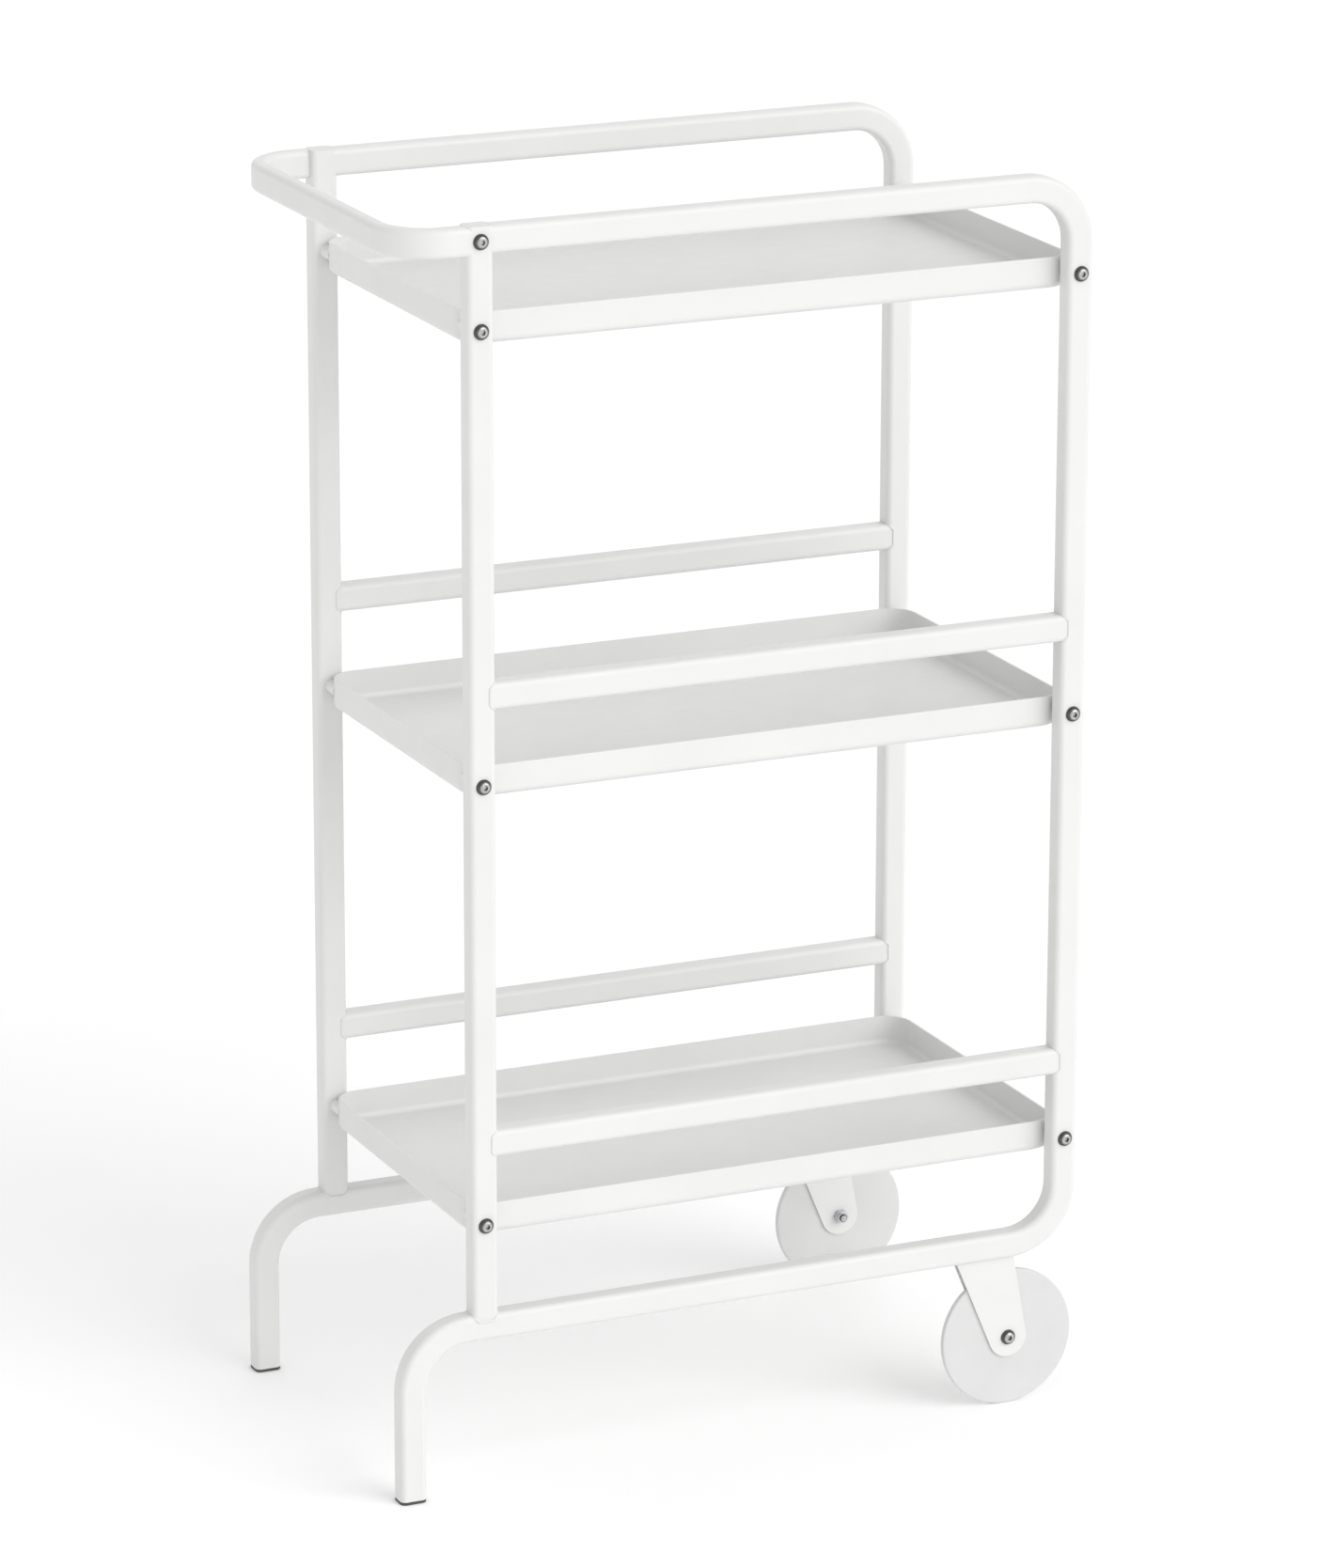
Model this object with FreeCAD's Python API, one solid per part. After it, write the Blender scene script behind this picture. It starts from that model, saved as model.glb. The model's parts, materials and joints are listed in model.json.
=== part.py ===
import FreeCAD, Part
import math
import os

from FreeCAD import Vector

# Rolling pantry cart: two side frames of bent steel tube, three sheet trays between them,
# a U-shaped push handle, two plain feet and two thin disc wheels in forks.
# Millimetres.  X runs along the trays, from the handle end (-X) to the wheel end (+X),
# Y across the cart from the near frame (-Y) to the far frame (+Y), Z up.
# The origin is on the floor, under the middle of the overall box.

# ---------------------------------------------------------------- overall sizes
overall_height = 770.0        # floor to the top of the top rails
frame_spacing = 238.6         # between the centre planes of the two side frames
post_spacing = 384.0          # between the centres of a front post and a rear post
foot_reach = 46.7             # front post centre to foot centre
handle_reach = 48.5           # front post centre to the centreline of the handle's bar

# ---------------------------------------------------------------- frame tube
tube_height = 16.5            # section size in the plane of a side frame
tube_depth = 14.0             # section size across the cart
tube_corner = 3.5             # outside corner radius of the section
tube_wall = 1.2
top_bend = 33.0               # centreline radii of the bends
foot_bend = 35.5
rear_bend = 35.0

# ---------------------------------------------------------------- handle tube
handle_height = 17.5          # flat-oval section, upright
handle_depth = 10.0
handle_corner = 3.5
handle_bend = 32.0

# ---------------------------------------------------------------- places up the cart
rail_above_wheel = 8.85       # top of a wheel to the underside of the bottom rail
bottom_tray_rise = 53.5       # bottom rail's centreline to the underside of the bottom tray
top_tray_drop = 72.0          # top of the top rails to the underside of the top tray
lower_guard_rise = 61.0       # underside of a tray to the centreline of the guard over it
middle_guard_rise = 64.5

# ---------------------------------------------------------------- trays
tray_wall_height = 19.2
tray_sheet = 1.2
tray_corner = 17.0            # outside radius of the upright corners
tray_edge = 4.5               # outside radius of the bent lower edges
tray_overhang = 4.0           # how far a tray runs past the post centres at each end
tray_side_gap = 0.5           # between a tray's long wall and the posts
tray_screw_rise = 11.0        # underside of a tray to its screws
boss_radius = 4.0             # threaded bosses that are welded on the tray corners
boss_length = 13.0

# ---------------------------------------------------------------- screws
screw_radius = 2.5
screw_hole_clearance = 0.25
thread_clearance = 0.05
head_radius = 4.75
head_height = 2.75
head_crown_radius = 2.4
head_bulge_out = 0.86         # a point on the head's dome, as shares of its radius and height
head_bulge_up = 0.62
socket_width = 3.0            # hexagon socket, across flats
socket_depth = 1.5
tip_chamfer = 0.5
screw_tip_clearance = 0.3     # a tray screw's tip to the tray's rounded corner
handle_screw_end = 1.0        # how far a handle screw stands out of its spigot

# ---------------------------------------------------------------- handle spigots and post plates
spigot_clearance = 0.3
spigot_end_gap = 2.0          # spigot end to the far inside wall of the post
spigot_corner = 1.8
post_plate = 0.9
plate_clearance = 0.1

# ---------------------------------------------------------------- foot caps
cap_sole = 2.0
cap_plug = 12.0
cap_clearance = 0.2
cap_edge = 0.6

# ---------------------------------------------------------------- wheels
wheel_radius = 43.7
wheel_width = 4.0
wheel_edge = 1.0
wheel_recess = 0.5            # depth of the round recess for a washer on each face of a wheel
wheel_side_play = 0.3         # between a wheel's face and the fork's plate
axle_setback = 35.0           # rear post centre to the axle, towards the handle
fork_sheet = 1.2
fork_lead = 35.5              # fork's front top corner to the axle, along the rail
fork_tail = 3.0               # axle to the fork's rear top corner
fork_nose = 12.5              # radius of the fork's lower end, round the axle
sleeve_radius = 4.0
sleeve_bore_clearance = 0.1
running_clearance = 0.05
washer_radius = 7.0
washer_play = 0.15            # to each side of a washer
washer_edge_clearance = 0.3   # between a washer and the edge of its recess
washer_bore_clearance = 0.2
bolt_end = 1.2                # how far an axle bolt stands out of its nut
nut_width = 8.0               # across flats
nut_height = 4.8
nut_collar = 1.3
nut_collar_radius = 3.5

# ---------------------------------------------------------------- derived places
half_tube = tube_height / 2.0
half_depth = tube_depth / 2.0
top_rail_z = overall_height - half_tube
bottom_rail_z = 2.0 * wheel_radius + rail_above_wheel + half_tube
bottom_tray_z = bottom_rail_z + bottom_tray_rise
top_tray_z = overall_height - top_tray_drop
middle_tray_z = (bottom_tray_z + top_tray_z) / 2.0
tray_floor_z = {"top": top_tray_z, "middle": middle_tray_z, "bottom": bottom_tray_z}   # undersides
guard_z = {"middle": middle_tray_z + middle_guard_rise, "lower": bottom_tray_z + lower_guard_rise}
spigot_in_handle = handle_reach - handle_bend - half_tube - spigot_clearance
front_end = max(foot_reach + half_tube, handle_reach + handle_depth / 2.0)
rear_end = post_spacing + half_tube
front_post_x = (front_end - rear_end) / 2.0
rear_post_x = front_post_x + post_spacing
foot_x = front_post_x - foot_reach
handle_x = front_post_x - handle_reach
frame_y = frame_spacing / 2.0
handle_y = frame_y + half_depth - handle_depth / 2.0
handle_z = overall_height - handle_height / 2.0
spigot_thickness = handle_depth - 2.0 * (tube_wall + spigot_clearance)
axle_x = rear_post_x - axle_setback
rail_underside = bottom_rail_z - half_tube
fork_width = wheel_width + 2.0 * (wheel_side_play + fork_sheet)
fork_inside = fork_width - 2.0 * fork_sheet
washer_thickness = wheel_recess + wheel_side_play - 2.0 * washer_play
tray_half_width = frame_y - half_depth - tray_side_gap
curve_to_screw = max(0.0, tray_corner - tray_overhang - screw_radius)
corner_setback = tray_corner - math.sqrt(tray_corner ** 2 - curve_to_screw ** 2)
tray_screw_length = tube_depth + tray_side_gap + corner_setback - screw_tip_clearance
handle_screw_length = tube_wall + spigot_clearance + spigot_thickness + handle_screw_end
axle_bolt_length = fork_width + nut_height + bolt_end
screw_hole_radius = screw_radius + screw_hole_clearance
thread_radius = screw_radius + thread_clearance
post_xs = (front_post_x, rear_post_x)
sides = {"near": -1.0, "far": 1.0}

along_x = Vector(1, 0, 0)
along_y = Vector(0, 1, 0)
along_z = Vector(0, 0, 1)


# ---------------------------------------------------------------- general shapes
def section_face(centre, first, second, first_size, second_size, corner):
    """Rounded rectangle about centre, in the plane of two unit vectors."""
    def at(u, v):
        return centre + first * u + second * v

    a = first_size / 2.0
    b = second_size / 2.0
    diagonal = corner * math.sqrt(0.5)
    edges = []
    for u_sign, v_sign, u_first in ((1, 1, False), (-1, 1, True), (-1, -1, False), (1, -1, True)):
        u_mid = u_sign * (a - corner)
        v_mid = v_sign * (b - corner)
        on_u_side = at(u_mid + u_sign * corner, v_mid)
        on_v_side = at(u_mid, v_mid + v_sign * corner)
        on_arc = at(u_mid + u_sign * diagonal, v_mid + v_sign * diagonal)
        start, end = (on_v_side, on_u_side) if u_first else (on_u_side, on_v_side)
        edges.append((start, on_arc, end))
    outline = []
    for index, (start, on_arc, end) in enumerate(edges):
        outline.append(Part.Arc(start, on_arc, end).toShape())
        following = edges[(index + 1) % len(edges)][0]
        outline.append(Part.LineSegment(end, following).toShape())
    return Part.Face(Part.Wire(outline))


def bent_bar(points, radii, normal, in_plane_size, across_size, corner):
    """Solid bar along straight runs in one plane, joined by tangent arcs."""
    pieces = []
    start = points[0]
    for index in range(1, len(points)):
        run = (points[index] - points[index - 1]).normalize()
        sideways = normal.cross(run)
        end = points[index]
        last = index == len(points) - 1
        if not last:
            leaving = (points[index + 1] - points[index]).normalize()
            turn = run.getAngle(leaving)
            radius = radii[index - 1]
            setback = radius * math.tan(turn / 2.0)
            end = points[index] - run * setback
        profile = section_face(start, sideways, normal, in_plane_size, across_size, corner)
        pieces.append(profile.extrude(end - start))
        if not last:
            spin = run.cross(leaving).normalize()
            hub = end + spin.cross(run) * radius
            profile = section_face(end, sideways, normal, in_plane_size, across_size, corner)
            pieces.append(profile.revolve(hub, spin, math.degrees(turn)))
            start = points[index] + leaving * setback
    if len(pieces) == 1:
        return pieces[0]
    return pieces[0].multiFuse(pieces[1:]).removeSplitter().Solids[0]


def tube(points, radii, normal, in_plane_size, across_size, corner):
    """Hollow tube, open at both ends."""
    outside = bent_bar(points, radii, normal, in_plane_size, across_size, corner)
    inside = bent_bar(points, radii, normal, in_plane_size - 2.0 * tube_wall,
                      across_size - 2.0 * tube_wall, corner - tube_wall)
    return outside.cut(inside)


def cylinder(radius, start, direction, length):
    return Part.makeCylinder(radius, length, start, direction)


def hexagon_bar(width, start, direction, length):
    """Hexagonal prism, given by its width across flats."""
    corner_radius = width / math.sqrt(3.0)
    across = along_x if abs(direction.x) < 0.5 else along_z
    other = direction.cross(across)
    points = []
    for step in range(7):
        angle = math.radians(60.0 * step)
        points.append(start + across * (corner_radius * math.cos(angle))
                      + other * (corner_radius * math.sin(angle)))
    return Part.Face(Part.makePolygon(points)).extrude(direction * length)


def button_screw(seat, direction, length):
    """Button-head screw; direction runs from the seat along the shank."""
    base = Part.LineSegment(Vector(0, 0, 0), Vector(head_radius, 0, 0))
    bulge = Vector(head_bulge_out * head_radius, 0, head_bulge_up * head_height)
    dome = Part.Arc(Vector(head_radius, 0, 0), bulge, Vector(head_crown_radius, 0, head_height))
    crown = Part.LineSegment(Vector(head_crown_radius, 0, head_height), Vector(0, 0, head_height))
    axis = Part.LineSegment(Vector(0, 0, head_height), Vector(0, 0, 0))
    profile = Part.Face(Part.Wire([edge.toShape() for edge in (base, dome, crown, axis)]))
    head = profile.revolve(Vector(0, 0, 0), along_z, 360.0)
    socket = hexagon_bar(socket_width, Vector(0, 0, head_height - socket_depth), along_z, head_height)
    shank = cylinder(screw_radius, Vector(0, 0, 0), along_z * -1.0, length - tip_chamfer)
    tip = Part.makeCone(screw_radius, screw_radius - tip_chamfer, tip_chamfer,
                        Vector(0, 0, tip_chamfer - length), along_z * -1.0)
    screw = head.cut(socket).multiFuse([shank, tip]).removeSplitter().Solids[0]
    screw.Placement = FreeCAD.Placement(seat, FreeCAD.Rotation(along_z * -1.0, direction))
    return screw


def outer_face_y(side):
    return side * (frame_y + half_depth)


def inner_face_y(side):
    return side * (frame_y - half_depth)


# ---------------------------------------------------------------- side frames
def frame_path(side):
    """Centreline from the foot round to the front post's end of the top rail."""
    y = side * frame_y
    return [Vector(foot_x, y, cap_sole),
            Vector(foot_x, y, bottom_rail_z),
            Vector(rear_post_x, y, bottom_rail_z),
            Vector(rear_post_x, y, top_rail_z),
            Vector(front_post_x, y, top_rail_z)]


def frame_envelope(side):
    return bent_bar(frame_path(side), (foot_bend, rear_bend, top_bend), along_y,
                    tube_height, tube_depth, tube_corner)


def post_envelope(side):
    """Front post as a full bar, from the bottom rail's centreline to the top."""
    y = side * frame_y
    return bent_bar([Vector(front_post_x, y, bottom_rail_z), Vector(front_post_x, y, overall_height)],
                    (), along_y, tube_height, tube_depth, tube_corner)


def tray_screw_z(level):
    return tray_floor_z[level] + tray_screw_rise


def tray_screw_holes(side, x):
    """Clearance holes for the three tray screws through one post, both walls."""
    start = side * (frame_y + tube_depth)
    return [cylinder(screw_hole_radius, Vector(x, start, tray_screw_z(level)),
                     along_y * -side, 2.0 * tube_depth) for level in tray_floor_z]


def frame_tube(side):
    body = tube(frame_path(side), (foot_bend, rear_bend, top_bend), along_y,
                tube_height, tube_depth, tube_corner)
    body = body.cut(post_envelope(side).cut(frame_envelope_below(side)))
    for hole in tray_screw_holes(side, rear_post_x):
        body = body.cut(hole)
    return max(body.Solids, key=lambda solid: solid.Volume)


def front_post(side):
    y = side * frame_y
    body = tube([Vector(front_post_x, y, bottom_rail_z), Vector(front_post_x, y, overall_height)],
                (), along_y, tube_height, tube_depth, tube_corner)
    body = body.cut(frame_envelope_below(side))
    for hole in tray_screw_holes(side, front_post_x):
        body = body.cut(hole)
    handle_hole = cylinder(screw_hole_radius, Vector(front_post_x, side * (frame_y + tube_depth), handle_z),
                           along_y * -side, tube_depth)
    body = body.cut(handle_hole)
    window = spigot_bar(side, spigot_clearance, front_post_x - tube_height, front_post_x)
    body = body.cut(window)
    return max(body.Solids, key=lambda solid: solid.Volume)


def frame_envelope_below(side):
    """Foot, bottom rail and rear post, without the top rail that butts on the front post."""
    return bent_bar(frame_path(side)[:4], (foot_bend, rear_bend), along_y,
                    tube_height, tube_depth, tube_corner)


def guard(side, z):
    """Straight guard rail between the posts, its ends shaped to the posts' faces."""
    y = side * frame_y
    body = tube([Vector(front_post_x, y, z), Vector(rear_post_x, y, z)], (), along_y,
                tube_height, tube_depth, tube_corner)
    body = body.cut(post_envelope(side)).cut(frame_envelope(side))
    return max(body.Solids, key=lambda solid: solid.Volume)


def post_plate_piece(side):
    """Thin plate welded flush in the open top of a front post."""
    shape = section_face(Vector(front_post_x, side * frame_y, overall_height - post_plate), along_x, along_y,
                         tube_height - 2.0 * (tube_wall + plate_clearance),
                         tube_depth - 2.0 * (tube_wall + plate_clearance),
                         tube_corner - tube_wall - plate_clearance)
    return shape.extrude(along_z * post_plate)


def foot_cap(side):
    """Plastic sole with a plug that is pushed up into the foot."""
    base = Vector(foot_x, side * frame_y, 0)
    sole = section_face(base, along_x, along_y, tube_height, tube_depth, tube_corner)
    sole = sole.extrude(along_z * cap_sole)
    lower_edges = [edge for edge in sole.Edges if edge.BoundBox.ZMax < 1e-6]
    sole = sole.makeFillet(cap_edge, lower_edges)
    margin = 2.0 * (tube_wall + cap_clearance)
    plug = section_face(base + along_z * cap_sole, along_x, along_y, tube_height - margin,
                        tube_depth - margin, tube_corner - margin / 2.0)
    plug = plug.extrude(along_z * cap_plug)
    return sole.fuse(plug).removeSplitter().Solids[0]


# ---------------------------------------------------------------- handle
def handle_tube():
    """U-shaped handle, the outer faces of its arms in line with the frames' outer faces."""
    points = [Vector(front_post_x, -handle_y, handle_z),
              Vector(handle_x, -handle_y, handle_z),
              Vector(handle_x, handle_y, handle_z),
              Vector(front_post_x, handle_y, handle_z)]
    body = tube(points, (handle_bend, handle_bend), along_z, handle_depth, handle_height, handle_corner)
    for side in sides.values():
        body = body.cut(post_envelope(side))
    return max(body.Solids, key=lambda solid: solid.Volume)


def spigot_bar(side, grow, start_x, end_x):
    """Bar along X that fits the handle's bore, grown by a clearance all round."""
    wide = spigot_thickness + 2.0 * grow
    tall = handle_height - 2.0 * (tube_wall + spigot_clearance) + 2.0 * grow
    shape = section_face(Vector(start_x, side * handle_y, handle_z), along_y, along_z, wide, tall,
                         spigot_corner)
    return shape.extrude(along_x * (end_x - start_x))


def handle_spigot(side):
    """Steel bar in the end of a handle arm; the handle screw threads into it inside the post."""
    start_x = front_post_x - half_tube - spigot_in_handle
    end_x = front_post_x + half_tube - tube_wall - spigot_end_gap
    body = spigot_bar(side, 0.0, start_x, end_x)
    bore = cylinder(thread_radius, Vector(front_post_x, side * (frame_y + tube_depth), handle_z),
                    along_y * -side, 2.0 * tube_depth)
    return body.cut(bore).Solids[0]


# ---------------------------------------------------------------- trays
def pan(margin, floor_z, top_z):
    """Block with rounded upright corners and rounded lower edges, inset by margin."""
    length = rear_post_x - front_post_x + 2.0 * (tray_overhang - margin)
    width = 2.0 * (tray_half_width - margin)
    middle = Vector((front_post_x + rear_post_x) / 2.0, 0, floor_z)
    block = section_face(middle, along_x, along_y, length, width, tray_corner - margin)
    block = block.extrude(along_z * (top_z - floor_z))
    lower_edges = [edge for edge in block.Edges if edge.BoundBox.ZMax < floor_z + 1e-6]
    return block.makeFillet(tray_edge - margin, lower_edges)


def tray(level):
    floor_z = tray_floor_z[level]
    rim_z = floor_z + tray_wall_height
    inside = pan(tray_sheet, floor_z + tray_sheet, rim_z + tray_wall_height)
    return pan(0.0, floor_z, rim_z).cut(inside).Solids[0]


def tray_bosses(level):
    """Four threaded bosses that fill the space between the posts and the rounded tray corners."""
    floor_z = tray_floor_z[level]
    envelope = pan(0.0, floor_z, floor_z + tray_wall_height)
    bosses = []
    for side in sides.values():
        for x in post_xs:
            seat = Vector(x, inner_face_y(side), tray_screw_z(level))
            boss = cylinder(boss_radius, seat, along_y * -side, boss_length)
            boss = boss.cut(envelope)
            boss = boss.cut(cylinder(thread_radius, seat, along_y * -side, boss_length))
            bosses.append(max(boss.Solids, key=lambda solid: solid.Volume))
    return Part.makeCompound(bosses)


def tray_screws(level):
    screws = []
    for side in sides.values():
        for x in post_xs:
            seat = Vector(x, outer_face_y(side), tray_screw_z(level))
            screws.append(button_screw(seat, along_y * -side, tray_screw_length))
    return Part.makeCompound(screws)


def handle_screws():
    screws = []
    for side in sides.values():
        seat = Vector(front_post_x, outer_face_y(side), handle_z)
        screws.append(button_screw(seat, along_y * -side, handle_screw_length))
    return Part.makeCompound(screws)


# ---------------------------------------------------------------- wheels
def tangent_point(hub, outside, radius, turn):
    """Where a line from a point outside touches a circle round hub; turn is +1 or -1."""
    reach = outside - hub
    angle = math.atan2(reach.z, reach.x) + turn * math.acos(radius / reach.Length)
    return hub + Vector(math.cos(angle), 0, math.sin(angle)) * radius


def wheel_fork(side):
    """Folded fork under the bottom rail: two tapered plates and the web that joins them."""
    y = side * frame_y
    hub = Vector(axle_x, y - fork_width / 2.0, wheel_radius)
    front = Vector(axle_x - fork_lead, hub.y, rail_underside)
    rear = Vector(axle_x + fork_tail, hub.y, rail_underside)
    into_rail = along_z * tube_corner
    front_touch = tangent_point(hub, front, fork_nose, 1.0)
    rear_touch = tangent_point(hub, rear, fork_nose, -1.0)
    outline = Part.Wire([Part.LineSegment(front + into_rail, front).toShape(),
                         Part.LineSegment(front, front_touch).toShape(),
                         Part.Arc(front_touch, hub - along_z * fork_nose, rear_touch).toShape(),
                         Part.LineSegment(rear_touch, rear).toShape(),
                         Part.LineSegment(rear, rear + into_rail).toShape(),
                         Part.LineSegment(rear + into_rail, front + into_rail).toShape()])
    body = Part.Face(outline).extrude(along_y * fork_width)
    slot = Part.makeBox(fork_lead + 2.0 * fork_nose, fork_inside, rail_underside - fork_sheet,
                        Vector(front.x, y - fork_inside / 2.0, 0))
    body = body.cut(slot).cut(frame_envelope_below(side))
    body = body.cut(cylinder(screw_hole_radius, hub, along_y, fork_width))
    return max(body.Solids, key=lambda solid: solid.Volume)


def wheel_disc(side):
    """Thin disc with a shallow round recess on each face, bored for the axle sleeve."""
    start = Vector(axle_x, side * frame_y - wheel_width / 2.0, wheel_radius)
    body = cylinder(wheel_radius, start, along_y, wheel_width)
    rims = [edge for edge in body.Edges if edge.Closed]
    body = body.makeFillet(wheel_edge, rims)
    recess_radius = washer_radius + washer_edge_clearance
    far_floor = start + along_y * (wheel_width - wheel_recess)
    body = body.cut(cylinder(recess_radius, start, along_y, wheel_recess))
    body = body.cut(cylinder(recess_radius, far_floor, along_y, wheel_recess))
    return body.cut(cylinder(sleeve_radius + running_clearance, start, along_y, wheel_width)).Solids[0]


def axle_sleeve(side):
    """Spacer tube clamped between the fork's plates; the wheel turns on it."""
    start = Vector(axle_x, side * frame_y - fork_inside / 2.0, wheel_radius)
    bore = cylinder(screw_radius + sleeve_bore_clearance, start, along_y, fork_inside)
    return cylinder(sleeve_radius, start, along_y, fork_inside).cut(bore)


def thrust_washers(side):
    """A thin washer in the recess on each side of the wheel."""
    middle = fork_inside / 2.0 - washer_play - washer_thickness / 2.0
    washers = []
    for direction in (-1.0, 1.0):
        start = Vector(axle_x, side * frame_y + direction * middle - washer_thickness / 2.0, wheel_radius)
        washer = cylinder(washer_radius, start, along_y, washer_thickness)
        bore = cylinder(sleeve_radius + washer_bore_clearance, start, along_y, washer_thickness)
        washers.append(washer.cut(bore))
    return Part.makeCompound(washers)


def axle_bolt(side):
    seat = Vector(axle_x, side * (frame_y + fork_width / 2.0), wheel_radius)
    return button_screw(seat, along_y * -side, axle_bolt_length)


def axle_nut(side):
    """Lock nut on the inner plate of the fork, with a round collar."""
    seat = Vector(axle_x, side * (frame_y - fork_width / 2.0), wheel_radius)
    inward = along_y * -side
    body = hexagon_bar(nut_width, seat, inward, nut_height - nut_collar)
    collar = cylinder(nut_collar_radius, seat + inward * (nut_height - nut_collar), inward, nut_collar)
    bore = cylinder(thread_radius, seat, inward, nut_height)
    return body.fuse(collar).cut(bore).Solids[0]


# ---------------------------------------------------------------- assembly
def build_parts():
    parts = {"handle_tube": handle_tube(), "handle_screws": handle_screws()}
    for name, side in sides.items():
        parts[name + "_frame_tube"] = frame_tube(side)
        parts[name + "_front_post"] = front_post(side)
        for place, z in guard_z.items():
            parts[name + "_" + place + "_guard"] = guard(side, z)
        parts[name + "_post_top_plate"] = post_plate_piece(side)
        parts[name + "_handle_spigot"] = handle_spigot(side)
        parts[name + "_foot_cap"] = foot_cap(side)
        parts[name + "_wheel_fork"] = wheel_fork(side)
        parts[name + "_wheel_disc"] = wheel_disc(side)
        parts[name + "_axle_sleeve"] = axle_sleeve(side)
        parts[name + "_thrust_washers"] = thrust_washers(side)
        parts[name + "_axle_bolt"] = axle_bolt(side)
        parts[name + "_axle_nut"] = axle_nut(side)
    for level in tray_floor_z:
        parts[level + "_tray"] = tray(level)
        parts[level + "_tray_bosses"] = tray_bosses(level)
        parts[level + "_tray_screws"] = tray_screws(level)
    return parts


os.makedirs("parts", exist_ok=True)
for part_name, shape in build_parts().items():
    shape.exportStep("parts/" + part_name + ".step")
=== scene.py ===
import json
import math

import bmesh
import bpy
from mathutils import Matrix, Vector


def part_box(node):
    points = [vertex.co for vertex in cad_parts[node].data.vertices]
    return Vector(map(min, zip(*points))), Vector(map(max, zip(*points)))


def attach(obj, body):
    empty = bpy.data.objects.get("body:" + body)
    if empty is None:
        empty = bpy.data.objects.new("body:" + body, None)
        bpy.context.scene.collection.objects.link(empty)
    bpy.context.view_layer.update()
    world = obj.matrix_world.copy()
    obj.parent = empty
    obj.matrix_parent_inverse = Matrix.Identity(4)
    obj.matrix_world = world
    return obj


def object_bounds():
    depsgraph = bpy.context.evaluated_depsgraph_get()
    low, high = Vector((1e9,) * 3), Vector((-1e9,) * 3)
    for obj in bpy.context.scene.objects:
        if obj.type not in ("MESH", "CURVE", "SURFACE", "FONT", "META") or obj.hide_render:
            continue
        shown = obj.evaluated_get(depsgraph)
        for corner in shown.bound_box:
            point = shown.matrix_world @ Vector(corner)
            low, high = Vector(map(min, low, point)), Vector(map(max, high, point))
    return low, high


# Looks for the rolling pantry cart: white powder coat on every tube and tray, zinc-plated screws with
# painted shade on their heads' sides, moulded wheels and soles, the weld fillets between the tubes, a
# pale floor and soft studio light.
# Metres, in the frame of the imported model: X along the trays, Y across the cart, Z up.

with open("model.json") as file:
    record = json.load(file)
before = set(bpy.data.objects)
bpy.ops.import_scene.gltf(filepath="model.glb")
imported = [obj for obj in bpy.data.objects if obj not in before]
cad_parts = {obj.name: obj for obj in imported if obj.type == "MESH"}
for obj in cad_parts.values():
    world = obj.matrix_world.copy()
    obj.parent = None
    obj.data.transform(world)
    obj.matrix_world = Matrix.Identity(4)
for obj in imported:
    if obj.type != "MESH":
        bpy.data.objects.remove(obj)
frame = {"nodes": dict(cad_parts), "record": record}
cad_low, cad_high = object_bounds()

SIDES = ("near", "far")

# ---------------------------------------------------------------- places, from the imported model
post_low, post_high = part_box("near_front_post")
fork_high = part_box("near_wheel_fork")[1]
guard_low, guard_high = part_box("near_middle_guard")
HALF_HEIGHT = (guard_high.z - guard_low.z) / 2.0     # of the frame tube's section
HALF_DEPTH = (guard_high.y - guard_low.y) / 2.0
FRONT_POST_X = (post_low.x + post_high.x) / 2.0
# The wheels end about 0.4 mm past the rear posts, so the fillets there lie that much deeper.
REAR_POST_X = cad_high.x - HALF_HEIGHT
BOTTOM_RAIL_Z = fork_high.z + HALF_HEIGHT

# ---------------------------------------------------------------- sizes of the added details
TUBE_CORNER = 0.0035          # outside corner radius of the frame tube's section
WELD_RADIUS = 0.0008          # half width of a weld fillet
WELD_RIPPLE = 0.10            # share of its radius that a fillet swells and shrinks by
WELD_RIPPLE_PITCH = 0.0018    # from one ripple to the next
WELD_SINK = 0.45              # share of its radius that a fillet lies under the tube's skin
WELD_STEP = 0.00045           # distance between the rings of a fillet
WELD_SIDES = 8                # faces round a fillet
ASKEW = Vector((0.31, 0.52, 0.79))   # a direction that no part of a fillet runs along

# ---------------------------------------------------------------- camera
LENS = 162.86                 # millimetres, like the sensor
SENSOR = 36.0
YAW = 24.335                  # degrees, to the right of +Y
PITCH = -16.485               # degrees, above the horizon
ROLL = 0.136                  # degrees
DISTANCE = 4.2986
AIM_FROM_MIDDLE = (0.00135, 0.0, 0.015)   # from the middle of the CAD box
AIM_RIGHT = 0.00341           # along the picture
AIM_UP = -0.01292             # up the picture

# ---------------------------------------------------------------- light
SKY = 0.72
HORIZON = 1.04                # as bright as the floor, so that no line shows where the floor ends
HORIZON_TOP = 0.11            # sine of the elevation up to which the sky is that bright
SKY_FROM = 0.25               # sine of the elevation from which it has its own brightness
FRONT_SUN = {"strength": 1.35, "azimuth": 30.0, "elevation": 30.0, "angle": 50.0}
BACK_SUN = {"strength": 0.25, "azimuth": 170.0, "elevation": 40.0, "angle": 60.0}
LIGHT_DISTANCE = 4.0          # where the suns stand, which doesn't change their light

# ---------------------------------------------------------------- floor
FLOOR_REACH = 14.0            # from its middle to each edge
FLOOR_CELLS = 24              # along each side
FLOOR_WHITE = (0.965, 0.965, 0.965)
FLOOR_SHADE = (0.95, 0.95, 0.95)
FLOOR_GLOW = 0.09             # keeps it as white as a lit studio floor

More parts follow.
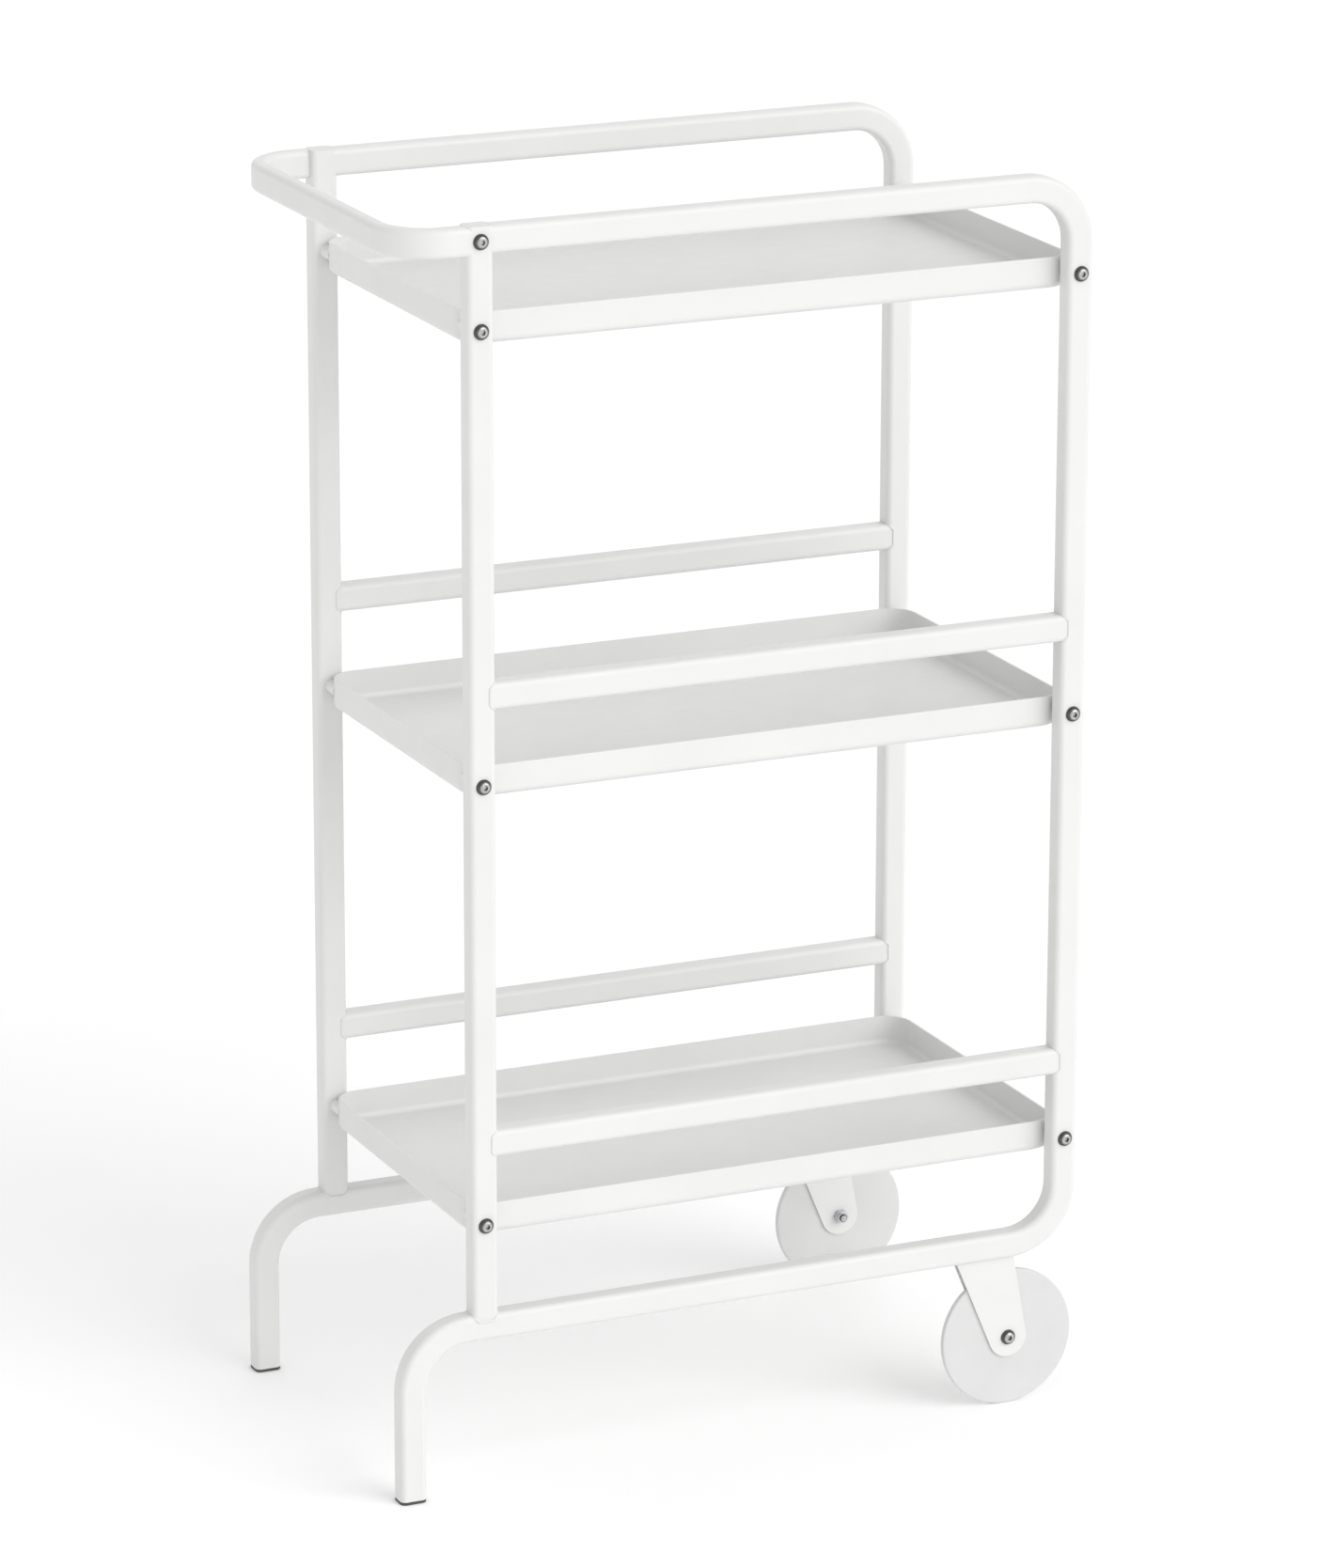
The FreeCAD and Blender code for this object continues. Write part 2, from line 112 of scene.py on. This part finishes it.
# ---------------------------------------------------------------- materials' limits
NOISE_RANGE = (0.32, 0.68)    # where nearly all of a noise's values lie
# Limits of the mask that puts painted shade on the screw heads' sides.
HEAD_SIDE = 0.80              # size of a normal's Y part up to which a face is a screw head's side
HEAD_FACE = 0.97              # and from which it is square to the screw


# ---------------------------------------------------------------- materials
def new_material(name):
    """An empty node material with a Principled shader, and its tree and shader."""
    material = bpy.data.materials.new(name)
    material.use_nodes = True
    tree = material.node_tree
    shader = tree.nodes["Principled BSDF"]
    return material, tree, shader


def noise(tree, scale, detail, roughness=0.5, stretch=(1.0, 1.0, 1.0)):
    """Noise in the object's own metres; scale is in waves per metre."""
    place = tree.nodes.new("ShaderNodeTexCoord")
    mapping = tree.nodes.new("ShaderNodeMapping")
    mapping.inputs["Scale"].default_value = stretch
    texture = tree.nodes.new("ShaderNodeTexNoise")
    texture.inputs["Scale"].default_value = scale
    texture.inputs["Detail"].default_value = detail
    texture.inputs["Roughness"].default_value = roughness
    tree.links.new(place.outputs["Object"], mapping.inputs["Vector"])
    tree.links.new(mapping.outputs["Vector"], texture.inputs["Vector"])
    return texture.outputs["Fac"]


def spread(tree, value, low, high):
    """Maps the middle of a noise, where nearly all of it lies, to low..high."""
    node = tree.nodes.new("ShaderNodeMapRange")
    node.inputs["From Min"].default_value, node.inputs["From Max"].default_value = NOISE_RANGE
    node.inputs["To Min"].default_value = low
    node.inputs["To Max"].default_value = high
    tree.links.new(value, node.inputs["Value"])
    return node.outputs["Result"]


def blend_colours(tree, factor, first, second):
    node = tree.nodes.new("ShaderNodeMix")
    node.data_type = "RGBA"
    node.inputs["A"].default_value = (*first, 1.0)
    node.inputs["B"].default_value = (*second, 1.0)
    tree.links.new(factor, node.inputs["Factor"])
    return node.outputs["Result"]


def bump(tree, height, distance, strength, under=None):
    node = tree.nodes.new("ShaderNodeBump")
    node.inputs["Distance"].default_value = distance
    node.inputs["Strength"].default_value = strength
    tree.links.new(height, node.inputs["Height"])
    if under is not None:
        tree.links.new(under, node.inputs["Normal"])
    return node.outputs["Normal"]


def powder_coat(name, light, dark, peel_scale, peel_depth, rough_low, rough_high):
    """Satin powder coat: fine orange peel over a slow waviness, with faint cloudy tone."""
    material, tree, shader = new_material(name)
    cloud = spread(tree, noise(tree, 16.0, 5.0, 0.55), 0.0, 1.0)
    tree.links.new(blend_colours(tree, cloud, dark, light), shader.inputs["Base Color"])
    polish = spread(tree, noise(tree, 70.0, 3.0), rough_low, rough_high)
    tree.links.new(polish, shader.inputs["Roughness"])
    wave = bump(tree, noise(tree, 110.0, 2.0), 0.00010, 0.30)
    peel = bump(tree, noise(tree, peel_scale, 3.0, 0.6), peel_depth, 0.55, under=wave)
    tree.links.new(peel, shader.inputs["Normal"])
    shader.inputs["Coat Weight"].default_value = 0.12
    shader.inputs["Coat Roughness"].default_value = 0.30
    shader.inputs["IOR"].default_value = 1.48
    return material


def faces_along_y(tree):
    """1 on faces square to the screws' axes, 0 on the sides of their heads, where the painted shade
    goes.
    """
    place = tree.nodes.new("ShaderNodeTexCoord")
    parts = tree.nodes.new("ShaderNodeSeparateXYZ")
    size = tree.nodes.new("ShaderNodeMath")
    size.operation = "ABSOLUTE"
    step = tree.nodes.new("ShaderNodeMapRange")
    step.inputs["From Min"].default_value = HEAD_SIDE
    step.inputs["From Max"].default_value = HEAD_FACE
    tree.links.new(place.outputs["Normal"], parts.inputs["Vector"])
    tree.links.new(parts.outputs["Y"], size.inputs[0])
    tree.links.new(size.outputs["Value"], step.inputs["Value"])
    return step.outputs["Result"]


def plated_steel(name, light, dark, rough_low, rough_high, painted_rim_shade=None):
    """Zinc plate: blotchy grey metal with fine scratches; the rim colour is painted shade and dark
    reflection on screw heads' sides.
    """
    material, tree, shader = new_material(name)
    blotch = spread(tree, noise(tree, 420.0, 4.0, 0.6), 0.0, 1.0)
    tone = blend_colours(tree, blotch, dark, light)
    # Painted shade: the sides of the screw heads get the near-black rim colour, standing in for their
    # contact shadow and dark reflection.
    if painted_rim_shade is not None:
        painted_rim_mix = tree.nodes.new("ShaderNodeMix")
        painted_rim_mix.data_type = "RGBA"
        painted_rim_mix.inputs["A"].default_value = (*painted_rim_shade, 1.0)
        tree.links.new(tone, painted_rim_mix.inputs["B"])
        tree.links.new(faces_along_y(tree), painted_rim_mix.inputs["Factor"])
        tone = painted_rim_mix.outputs["Result"]
    tree.links.new(tone, shader.inputs["Base Color"])
    polish = spread(tree, noise(tree, 900.0, 3.0), rough_low, rough_high)
    tree.links.new(polish, shader.inputs["Roughness"])
    scratch = noise(tree, 2600.0, 2.0, 0.6, stretch=(1.0, 1.0, 0.12))
    tree.links.new(bump(tree, scratch, 0.00002, 0.5), shader.inputs["Normal"])
    shader.inputs["Metallic"].default_value = 1.0
    return material


def moulded_plastic(name, light, dark, grain_scale, grain_depth, rough_low, rough_high):
    """Moulded plastic: spark-eroded grain and faint flow tone."""
    material, tree, shader = new_material(name)
    flow = spread(tree, noise(tree, 30.0, 4.0, 0.6), 0.0, 1.0)
    tree.links.new(blend_colours(tree, flow, dark, light), shader.inputs["Base Color"])
    polish = spread(tree, noise(tree, 160.0, 3.0), rough_low, rough_high)
    tree.links.new(polish, shader.inputs["Roughness"])
    grain = bump(tree, noise(tree, grain_scale, 4.0, 0.7), grain_depth, 0.6)
    tree.links.new(grain, shader.inputs["Normal"])
    return material


WHITE = (0.752, 0.751, 0.742)
WHITE_SHADE = (0.728, 0.727, 0.719)

MATERIALS = {
    "white_powder_coat": powder_coat("cart_powder_coat", WHITE, WHITE_SHADE,
                                     1500.0, 0.00003, 0.40, 0.52),
    "white_tray_coat": powder_coat("tray_powder_coat", WHITE, WHITE_SHADE,
                                   1100.0, 0.00004, 0.36, 0.48),
    # The screws' near-black rim colour is painted shade and dark reflection on their heads' sides.
    "screw_steel": plated_steel("screw_zinc", (0.60, 0.60, 0.58), (0.42, 0.42, 0.41), 0.28, 0.42,
                                painted_rim_shade=(0.10, 0.10, 0.10)),
    "zinc_steel": plated_steel("bright_zinc", (0.66, 0.67, 0.69), (0.52, 0.53, 0.55), 0.30, 0.45),
    "grey_plastic": moulded_plastic("sole_plastic", (0.095, 0.095, 0.10), (0.06, 0.06, 0.065),
                                    2200.0, 0.00006, 0.55, 0.70),
    "white_plastic": moulded_plastic("wheel_plastic", (0.66, 0.66, 0.658), (0.63, 0.63, 0.628),
                                     1800.0, 0.00003, 0.42, 0.55),
    "natural_nylon": moulded_plastic("nylon", (0.74, 0.73, 0.68), (0.68, 0.67, 0.62),
                                     1500.0, 0.00003, 0.35, 0.50),
}


def finish_cad_nodes():
    """Gives each CAD node the material of its slot in the record."""
    for row in frame["record"]["subparts"]:
        node = frame["nodes"][row["node"]]
        node.data.materials.clear()
        node.data.materials.append(MATERIALS[row["material_slot"]])


# ---------------------------------------------------------------- weld fillets
def swept_ring(name, points, radius_at):
    """Closed tube through points, with a radius that changes along it."""
    mesh = bmesh.new()
    rings = []
    count = len(points)
    length = 0.0
    for index, point in enumerate(points):
        ahead = points[(index + 1) % count]
        behind = points[index - 1]
        along = (ahead - behind).normalized()
        across = along.cross(ASKEW).normalized()
        other = along.cross(across)
        radius = radius_at(length)
        length += (ahead - point).length
        ring = []
        for side in range(WELD_SIDES):
            angle = 2.0 * math.pi * side / WELD_SIDES
            offset = across * math.cos(angle) + other * math.sin(angle)
            ring.append(mesh.verts.new(point + offset * radius))
        rings.append(ring)
    for index, ring in enumerate(rings):
        following = rings[(index + 1) % count]
        shift = closest_shift(ring, following)
        for side in range(WELD_SIDES):
            after = (side + 1) % WELD_SIDES
            mesh.faces.new((ring[side], ring[after], following[(after + shift) % WELD_SIDES],
                            following[(side + shift) % WELD_SIDES]))
    bmesh.ops.recalc_face_normals(mesh, faces=mesh.faces)
    data = bpy.data.meshes.new(name)
    mesh.to_mesh(data)
    mesh.free()
    for face in data.polygons:
        face.use_smooth = True
    piece = bpy.data.objects.new(name, data)
    bpy.context.scene.collection.objects.link(piece)
    return piece


def closest_shift(ring, following):
    """How far the next ring's corners are turned from this ring's."""
    first = ring[0].co
    return min(range(WELD_SIDES), key=lambda side: (following[side].co - first).length)


def rounded_rectangle(half_u, half_v, corner, step):
    """Points round a rounded rectangle, about step apart."""
    points = []
    corners = ((1, 1, 0.0), (-1, 1, 0.5), (-1, -1, 1.0), (1, -1, 1.5))
    arc_steps = max(3, round(corner * math.pi / 2.0 / step))
    for u_sign, v_sign, turn in corners:
        for part in range(arc_steps + 1):
            angle = math.pi * (turn + 0.5 * part / arc_steps)
            points.append((u_sign * (half_u - corner) + corner * math.cos(angle),
                           v_sign * (half_v - corner) + corner * math.sin(angle)))
    filled = []
    for index, (u, v) in enumerate(points):
        next_u, next_v = points[(index + 1) % len(points)]
        gap = math.hypot(next_u - u, next_v - v)
        pieces = max(1, round(gap / step))
        for part in range(pieces):
            share = part / pieces
            filled.append((u + (next_u - u) * share, v + (next_v - v) * share))
    return filled


def weld_radius(length):
    """Radius of a fillet at a distance along it."""
    return WELD_RADIUS * (1.0 + WELD_RIPPLE * math.sin(2.0 * math.pi * length / WELD_RIPPLE_PITCH))


def side_skin(across, half_width, half_height):
    """How far a tube's rounded skin is from its middle, at a distance to one side of it."""
    into_corner = min(max(0.0, abs(across) - (half_width - TUBE_CORNER)), TUBE_CORNER)
    return half_height - TUBE_CORNER + math.sqrt(TUBE_CORNER ** 2 - into_corner ** 2)


def weld_on_post(name, post_x, tube, direction):
    """Fillet round the end of a level tube, on a post's face; direction is +1 on its +X face."""
    low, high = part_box(tube)
    middle = (low + high) / 2.0
    points = []
    for y, z in rounded_rectangle(HALF_DEPTH, HALF_HEIGHT, TUBE_CORNER, WELD_STEP):
        reach = side_skin(y, HALF_DEPTH, HALF_HEIGHT) - WELD_SINK * WELD_RADIUS
        points.append(Vector((post_x + direction * reach, middle.y + y, middle.z + z)))
    return swept_ring(name, points, weld_radius)


def weld_under_post(name, post):
    """Fillet round the foot of a front post, on the bottom rail."""
    low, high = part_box(post)
    middle = (low + high) / 2.0
    points = []
    for y, x in rounded_rectangle(HALF_DEPTH, HALF_HEIGHT, TUBE_CORNER, WELD_STEP):
        reach = side_skin(y, HALF_DEPTH, HALF_HEIGHT) - WELD_SINK * WELD_RADIUS
        points.append(Vector((middle.x + x, middle.y + y, BOTTOM_RAIL_Z + reach)))
    return swept_ring(name, points, weld_radius)


def weld_fillets():
    """The guard rails' ends and the front posts' feet; the top rails' ends are dressed flush."""
    for side in SIDES:
        for guard in ("middle", "lower"):
            tube = f"{side}_{guard}_guard"
            yield weld_on_post(f"{tube}_front_weld", FRONT_POST_X, tube, 1.0)
            yield weld_on_post(f"{tube}_rear_weld", REAR_POST_X, tube, -1.0)
        yield weld_under_post(f"{side}_front_post_weld", f"{side}_front_post")


# ---------------------------------------------------------------- stage
def studio_floor():
    """Plain pale floor, faintly uneven in tone."""
    mesh = bmesh.new()
    bmesh.ops.create_grid(mesh, x_segments=FLOOR_CELLS, y_segments=FLOOR_CELLS, size=FLOOR_REACH)
    data = bpy.data.meshes.new("studio_floor")
    mesh.to_mesh(data)
    mesh.free()
    floor = bpy.data.objects.new("studio_floor", data)
    bpy.context.scene.collection.objects.link(floor)
    material, tree, shader = new_material("studio_floor")
    tone = spread(tree, noise(tree, 1.5, 3.0), 0.0, 1.0)
    tree.links.new(blend_colours(tree, tone, FLOOR_SHADE, FLOOR_WHITE), shader.inputs["Base Color"])
    shader.inputs["Roughness"].default_value = 0.85
    shader.inputs["Specular IOR Level"].default_value = 0.1
    shader.inputs["Emission Color"].default_value = (1.0, 1.0, 1.0, 1.0)
    shader.inputs["Emission Strength"].default_value = FLOOR_GLOW
    data.materials.append(material)


def broad_sun(name, strength, azimuth, elevation, angle):
    """Even light from one side of the sky; azimuth 0 comes from -Y, 90 from +X. In degrees."""
    turn = math.radians(azimuth)
    lift = math.radians(elevation)
    data = bpy.data.lights.new(name, "SUN")
    data.energy = strength
    data.angle = math.radians(angle)
    lamp = bpy.data.objects.new(name, data)
    towards = Vector((math.sin(turn) * math.cos(lift),
                      -math.cos(turn) * math.cos(lift),
                      math.sin(lift)))
    lamp.location = towards * LIGHT_DISTANCE
    lamp.rotation_mode = "QUATERNION"
    lamp.rotation_quaternion = (-towards).to_track_quat("-Z", "Y")
    bpy.context.scene.collection.objects.link(lamp)


def studio_light():
    """White sky that is brightest at the horizon, and two broad suns."""
    world = bpy.data.worlds.new("studio")
    world.use_nodes = True
    tree = world.node_tree
    background = tree.nodes["Background"]
    background.inputs["Color"].default_value = (1.0, 1.0, 1.0, 1.0)
    direction = tree.nodes.new("ShaderNodeTexCoord")
    parts = tree.nodes.new("ShaderNodeSeparateXYZ")
    band = tree.nodes.new("ShaderNodeMapRange")
    band.inputs["From Min"].default_value = HORIZON_TOP
    band.inputs["From Max"].default_value = SKY_FROM
    band.inputs["To Min"].default_value = HORIZON
    band.inputs["To Max"].default_value = SKY
    tree.links.new(direction.outputs["Generated"], parts.inputs["Vector"])
    tree.links.new(parts.outputs["Z"], band.inputs["Value"])
    tree.links.new(band.outputs["Result"], background.inputs["Strength"])
    bpy.context.scene.world = world
    broad_sun("front", **FRONT_SUN)
    broad_sun("back", **BACK_SUN)


def photo_camera():
    """Camera at the viewing angle of the real cart's picture, without shift."""
    yaw = math.radians(YAW)
    pitch = math.radians(PITCH)
    ahead = Vector((math.sin(yaw) * math.cos(pitch),
                    math.cos(yaw) * math.cos(pitch),
                    math.sin(pitch)))
    right = Vector((math.cos(yaw), -math.sin(yaw), 0.0))
    up = right.cross(ahead)
    middle = (cad_low + cad_high) / 2.0 + Vector(AIM_FROM_MIDDLE)
    aim = middle + right * AIM_RIGHT + up * AIM_UP
    data = bpy.data.cameras.new("photo_camera")
    data.lens = LENS
    data.sensor_width = SENSOR
    camera = bpy.data.objects.new("photo_camera", data)
    turned = Matrix((right, up, -ahead)).transposed()
    turned = turned @ Matrix.Rotation(math.radians(ROLL), 3, "Z")
    camera.matrix_world = Matrix.Translation(aim - ahead * DISTANCE) @ turned.to_4x4()
    bpy.context.scene.collection.objects.link(camera)
    bpy.context.scene.camera = camera


# ---------------------------------------------------------------- assembly
photo_camera()
bpy.context.scene.view_settings.view_transform = "Standard"
finish_cad_nodes()
for fillet in weld_fillets():
    fillet.data.materials.append(MATERIALS["white_powder_coat"])
    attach(fillet, "root")
studio_floor()
studio_light()
